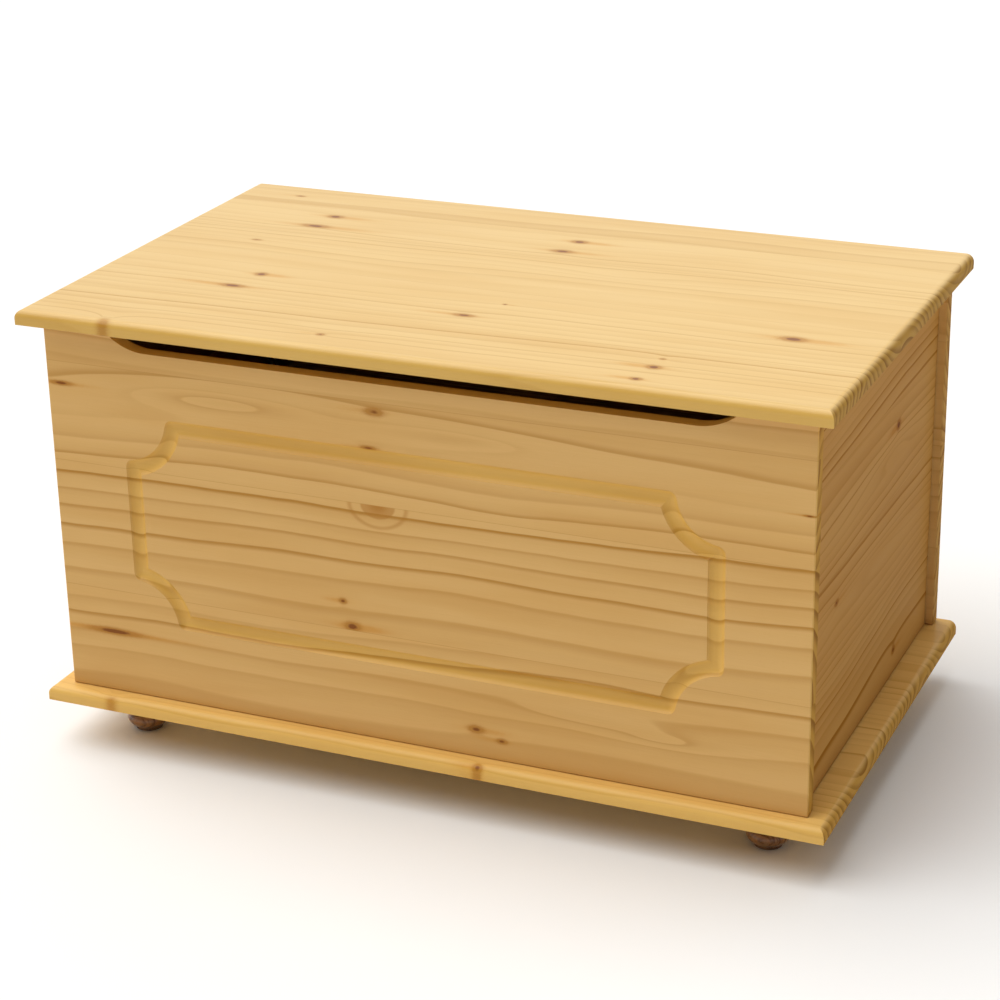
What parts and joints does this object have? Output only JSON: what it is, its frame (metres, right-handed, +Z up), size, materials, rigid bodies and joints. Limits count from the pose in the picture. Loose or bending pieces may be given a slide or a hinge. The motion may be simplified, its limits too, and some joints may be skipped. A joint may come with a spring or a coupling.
{
  "type": "toy box",
  "caption": "Solid pine toy box with a moulded hinged lid, a routed frame and finger gap in the front, a moulded base and turned feet.",
  "frame": {"origin": "on the floor, under the middle of the box", "axes": "+X along the front to the right as seen from the front, +Y from the front to the back, +Z up"},
  "size_m": [0.804, 0.48, 0.458],
  "materials": {
    "lacquered_pine": "clear satin lacquer over pale knotty pine",
    "stained_foot": "dark brown stain under gloss lacquer",
    "beech_dowel": "bare beech",
    "brass": "brass plated",
    "zinc_steel": "bright zinc plated"
  },
  "bodies": {
    "box": {"base_board": "lacquered_pine", "front_panel": "lacquered_pine", "back_panel": "lacquered_pine", "left_side_panel": "lacquered_pine", "right_side_panel": "lacquered_pine", "front_left_dowel_lower": "beech_dowel", "front_left_dowel_upper": "beech_dowel", "back_left_dowel_lower": "beech_dowel", "back_left_dowel_upper": "beech_dowel", "front_right_dowel_lower": "beech_dowel", "front_right_dowel_upper": "beech_dowel", "back_right_dowel_lower": "beech_dowel", "back_right_dowel_upper": "beech_dowel", "base_screw_front_left": "zinc_steel", "base_screw_front_right": "zinc_steel", "base_screw_back_left": "zinc_steel", "base_screw_back_right": "zinc_steel", "base_screw_left": "zinc_steel", "base_screw_right": "zinc_steel", "front_left_foot": "stained_foot", "front_left_foot_screw": "zinc_steel", "front_right_foot": "stained_foot", "front_right_foot_screw": "zinc_steel", "back_left_foot": "stained_foot", "back_left_foot_screw": "zinc_steel", "back_right_foot": "stained_foot", "back_right_foot_screw": "zinc_steel", "left_hinge_frame_leaf": "brass", "left_hinge_pin": "brass", "left_hinge_frame_screw_1": "brass", "left_hinge_frame_screw_2": "brass", "right_hinge_frame_leaf": "brass", "right_hinge_pin": "brass", "right_hinge_frame_screw_1": "brass", "right_hinge_frame_screw_2": "brass", "left_stay_wall_plate": "zinc_steel", "left_stay_wall_screw_1": "zinc_steel", "left_stay_wall_screw_2": "zinc_steel", "left_stay_nut": "zinc_steel", "right_stay_wall_plate": "zinc_steel", "right_stay_wall_screw_1": "zinc_steel", "right_stay_wall_screw_2": "zinc_steel", "right_stay_nut": "zinc_steel"},
    "lid": {"lid_board": "lacquered_pine", "left_hinge_lid_leaf": "brass", "left_hinge_lid_screw_1": "brass", "left_hinge_lid_screw_2": "brass", "right_hinge_lid_leaf": "brass", "right_hinge_lid_screw_1": "brass", "right_hinge_lid_screw_2": "brass", "left_stay_lid_bracket": "zinc_steel", "left_stay_lid_screw_1": "zinc_steel", "left_stay_lid_screw_2": "zinc_steel", "left_stay_rivet": "zinc_steel", "right_stay_lid_bracket": "zinc_steel", "right_stay_lid_screw_1": "zinc_steel", "right_stay_lid_screw_2": "zinc_steel", "right_stay_rivet": "zinc_steel"},
    "left_stay_arm": {"left_stay_arm": "zinc_steel"},
    "right_stay_arm": {"right_stay_arm": "zinc_steel"}
  },
  "joints": [
    {"name": "lid_hinge", "type": "hinge", "parent": "box", "child": "lid", "pos_m": [0, 0.2349, 0.4401], "axis": [-1, 0, 0], "range_deg": [0, 95]},
    {"name": "left_stay_pivot", "type": "hinge", "parent": "lid", "child": "left_stay_arm", "pos_m": [-0.35, 0.10529, 0.43], "axis": [-1, 0, 0], "range_deg": [-47.5, 0]},
    {"name": "right_stay_pivot", "type": "hinge", "parent": "lid", "child": "right_stay_arm", "pos_m": [0.35, 0.10529, 0.43], "axis": [-1, 0, 0], "range_deg": [-47.5, 0]}
  ],
  "couplings": [
    {"joint": "left_stay_pivot", "follows": "lid_hinge", "ratio": -0.5},
    {"joint": "right_stay_pivot", "follows": "lid_hinge", "ratio": -0.5}
  ]
}
